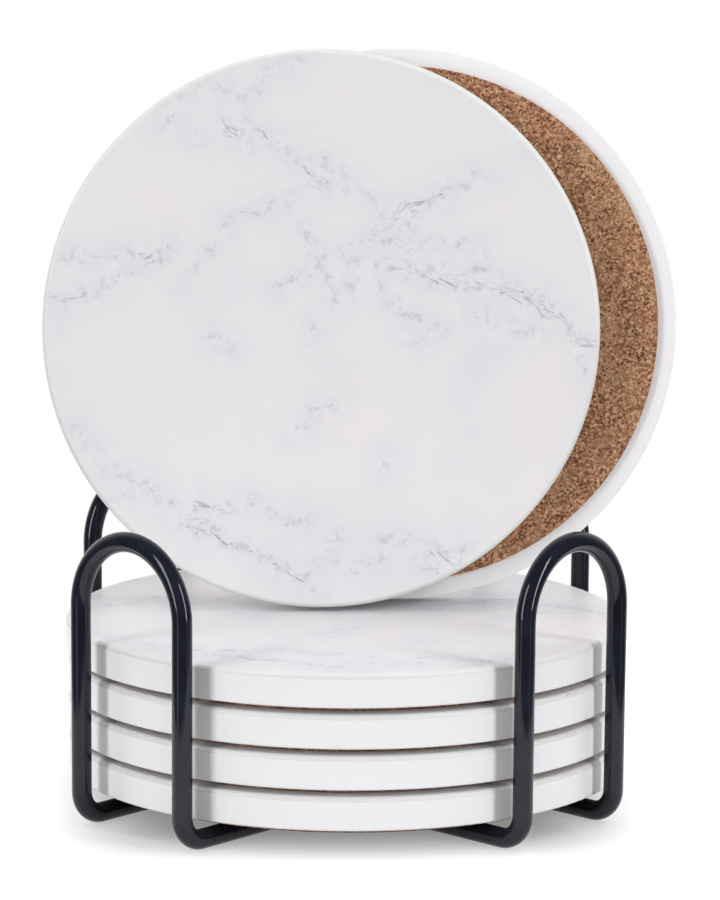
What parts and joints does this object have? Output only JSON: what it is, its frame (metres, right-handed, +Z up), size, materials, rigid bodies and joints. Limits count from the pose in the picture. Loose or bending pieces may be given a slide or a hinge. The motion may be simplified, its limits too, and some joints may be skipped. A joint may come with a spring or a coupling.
{
  "type": "drink coaster set",
  "caption": "Round stone-look ceramic drink coasters on cork discs, stacked flat in a low rack of bent wire arches, with a pair standing on edge on top.",
  "frame": {"origin": "on the table, under the centre of the wire rack, where the two diagonals of its base cross", "axes": "+Z up out of the stack; the front faces -Y; +X to the right seen from the front; the arches stand on the diagonals, 45 degrees from X and Y"},
  "size_m": [0.1166, 0.1017, 0.1341],
  "materials": {
    "tile": "white ceramic with a fine grey marble pattern on the face and glossy white sides",
    "cork": "natural agglomerated cork, matte",
    "wire": "gloss blue-black powder coat on steel wire"
  },
  "bodies": {
    "rack": {"rack_loop": "wire", "rack_front_hairpin": "wire", "rack_back_hairpin": "wire"},
    "coaster_1": {"stack_tile_1": "tile", "stack_cork_1": "cork"},
    "coaster_2": {"stack_tile_2": "tile", "stack_cork_2": "cork"},
    "coaster_3": {"stack_tile_3": "tile", "stack_cork_3": "cork"},
    "coaster_4": {"stack_tile_4": "tile", "stack_cork_4": "cork"},
    "front_coaster": {"front_tile": "tile", "front_cork": "cork"},
    "back_coaster": {"back_tile": "tile", "back_cork": "cork"}
  },
  "joints": [
    {"name": "coaster_1_lift", "type": "slide", "parent": "rack", "child": "coaster_1", "axis": [0, 0, 1], "range_m": [0, 0.055]},
    {"name": "coaster_2_lift", "type": "slide", "parent": "coaster_1", "child": "coaster_2", "axis": [0, 0, 1], "range_m": [0, 0.048]},
    {"name": "coaster_3_lift", "type": "slide", "parent": "coaster_2", "child": "coaster_3", "axis": [0, 0, 1], "range_m": [0, 0.041]},
    {"name": "coaster_4_lift", "type": "slide", "parent": "coaster_3", "child": "coaster_4", "axis": [0, 0, 1], "range_m": [0, 0.034]},
    {"name": "front_coaster_lift", "type": "slide", "parent": "coaster_4", "child": "front_coaster", "axis": [0.0037, 0.101, 0.9949], "range_m": [0, 0.105]},
    {"name": "back_coaster_lift", "type": "slide", "parent": "coaster_4", "child": "back_coaster", "axis": [0.0037, 0.101, 0.9949], "range_m": [0, 0.105]}
  ]
}
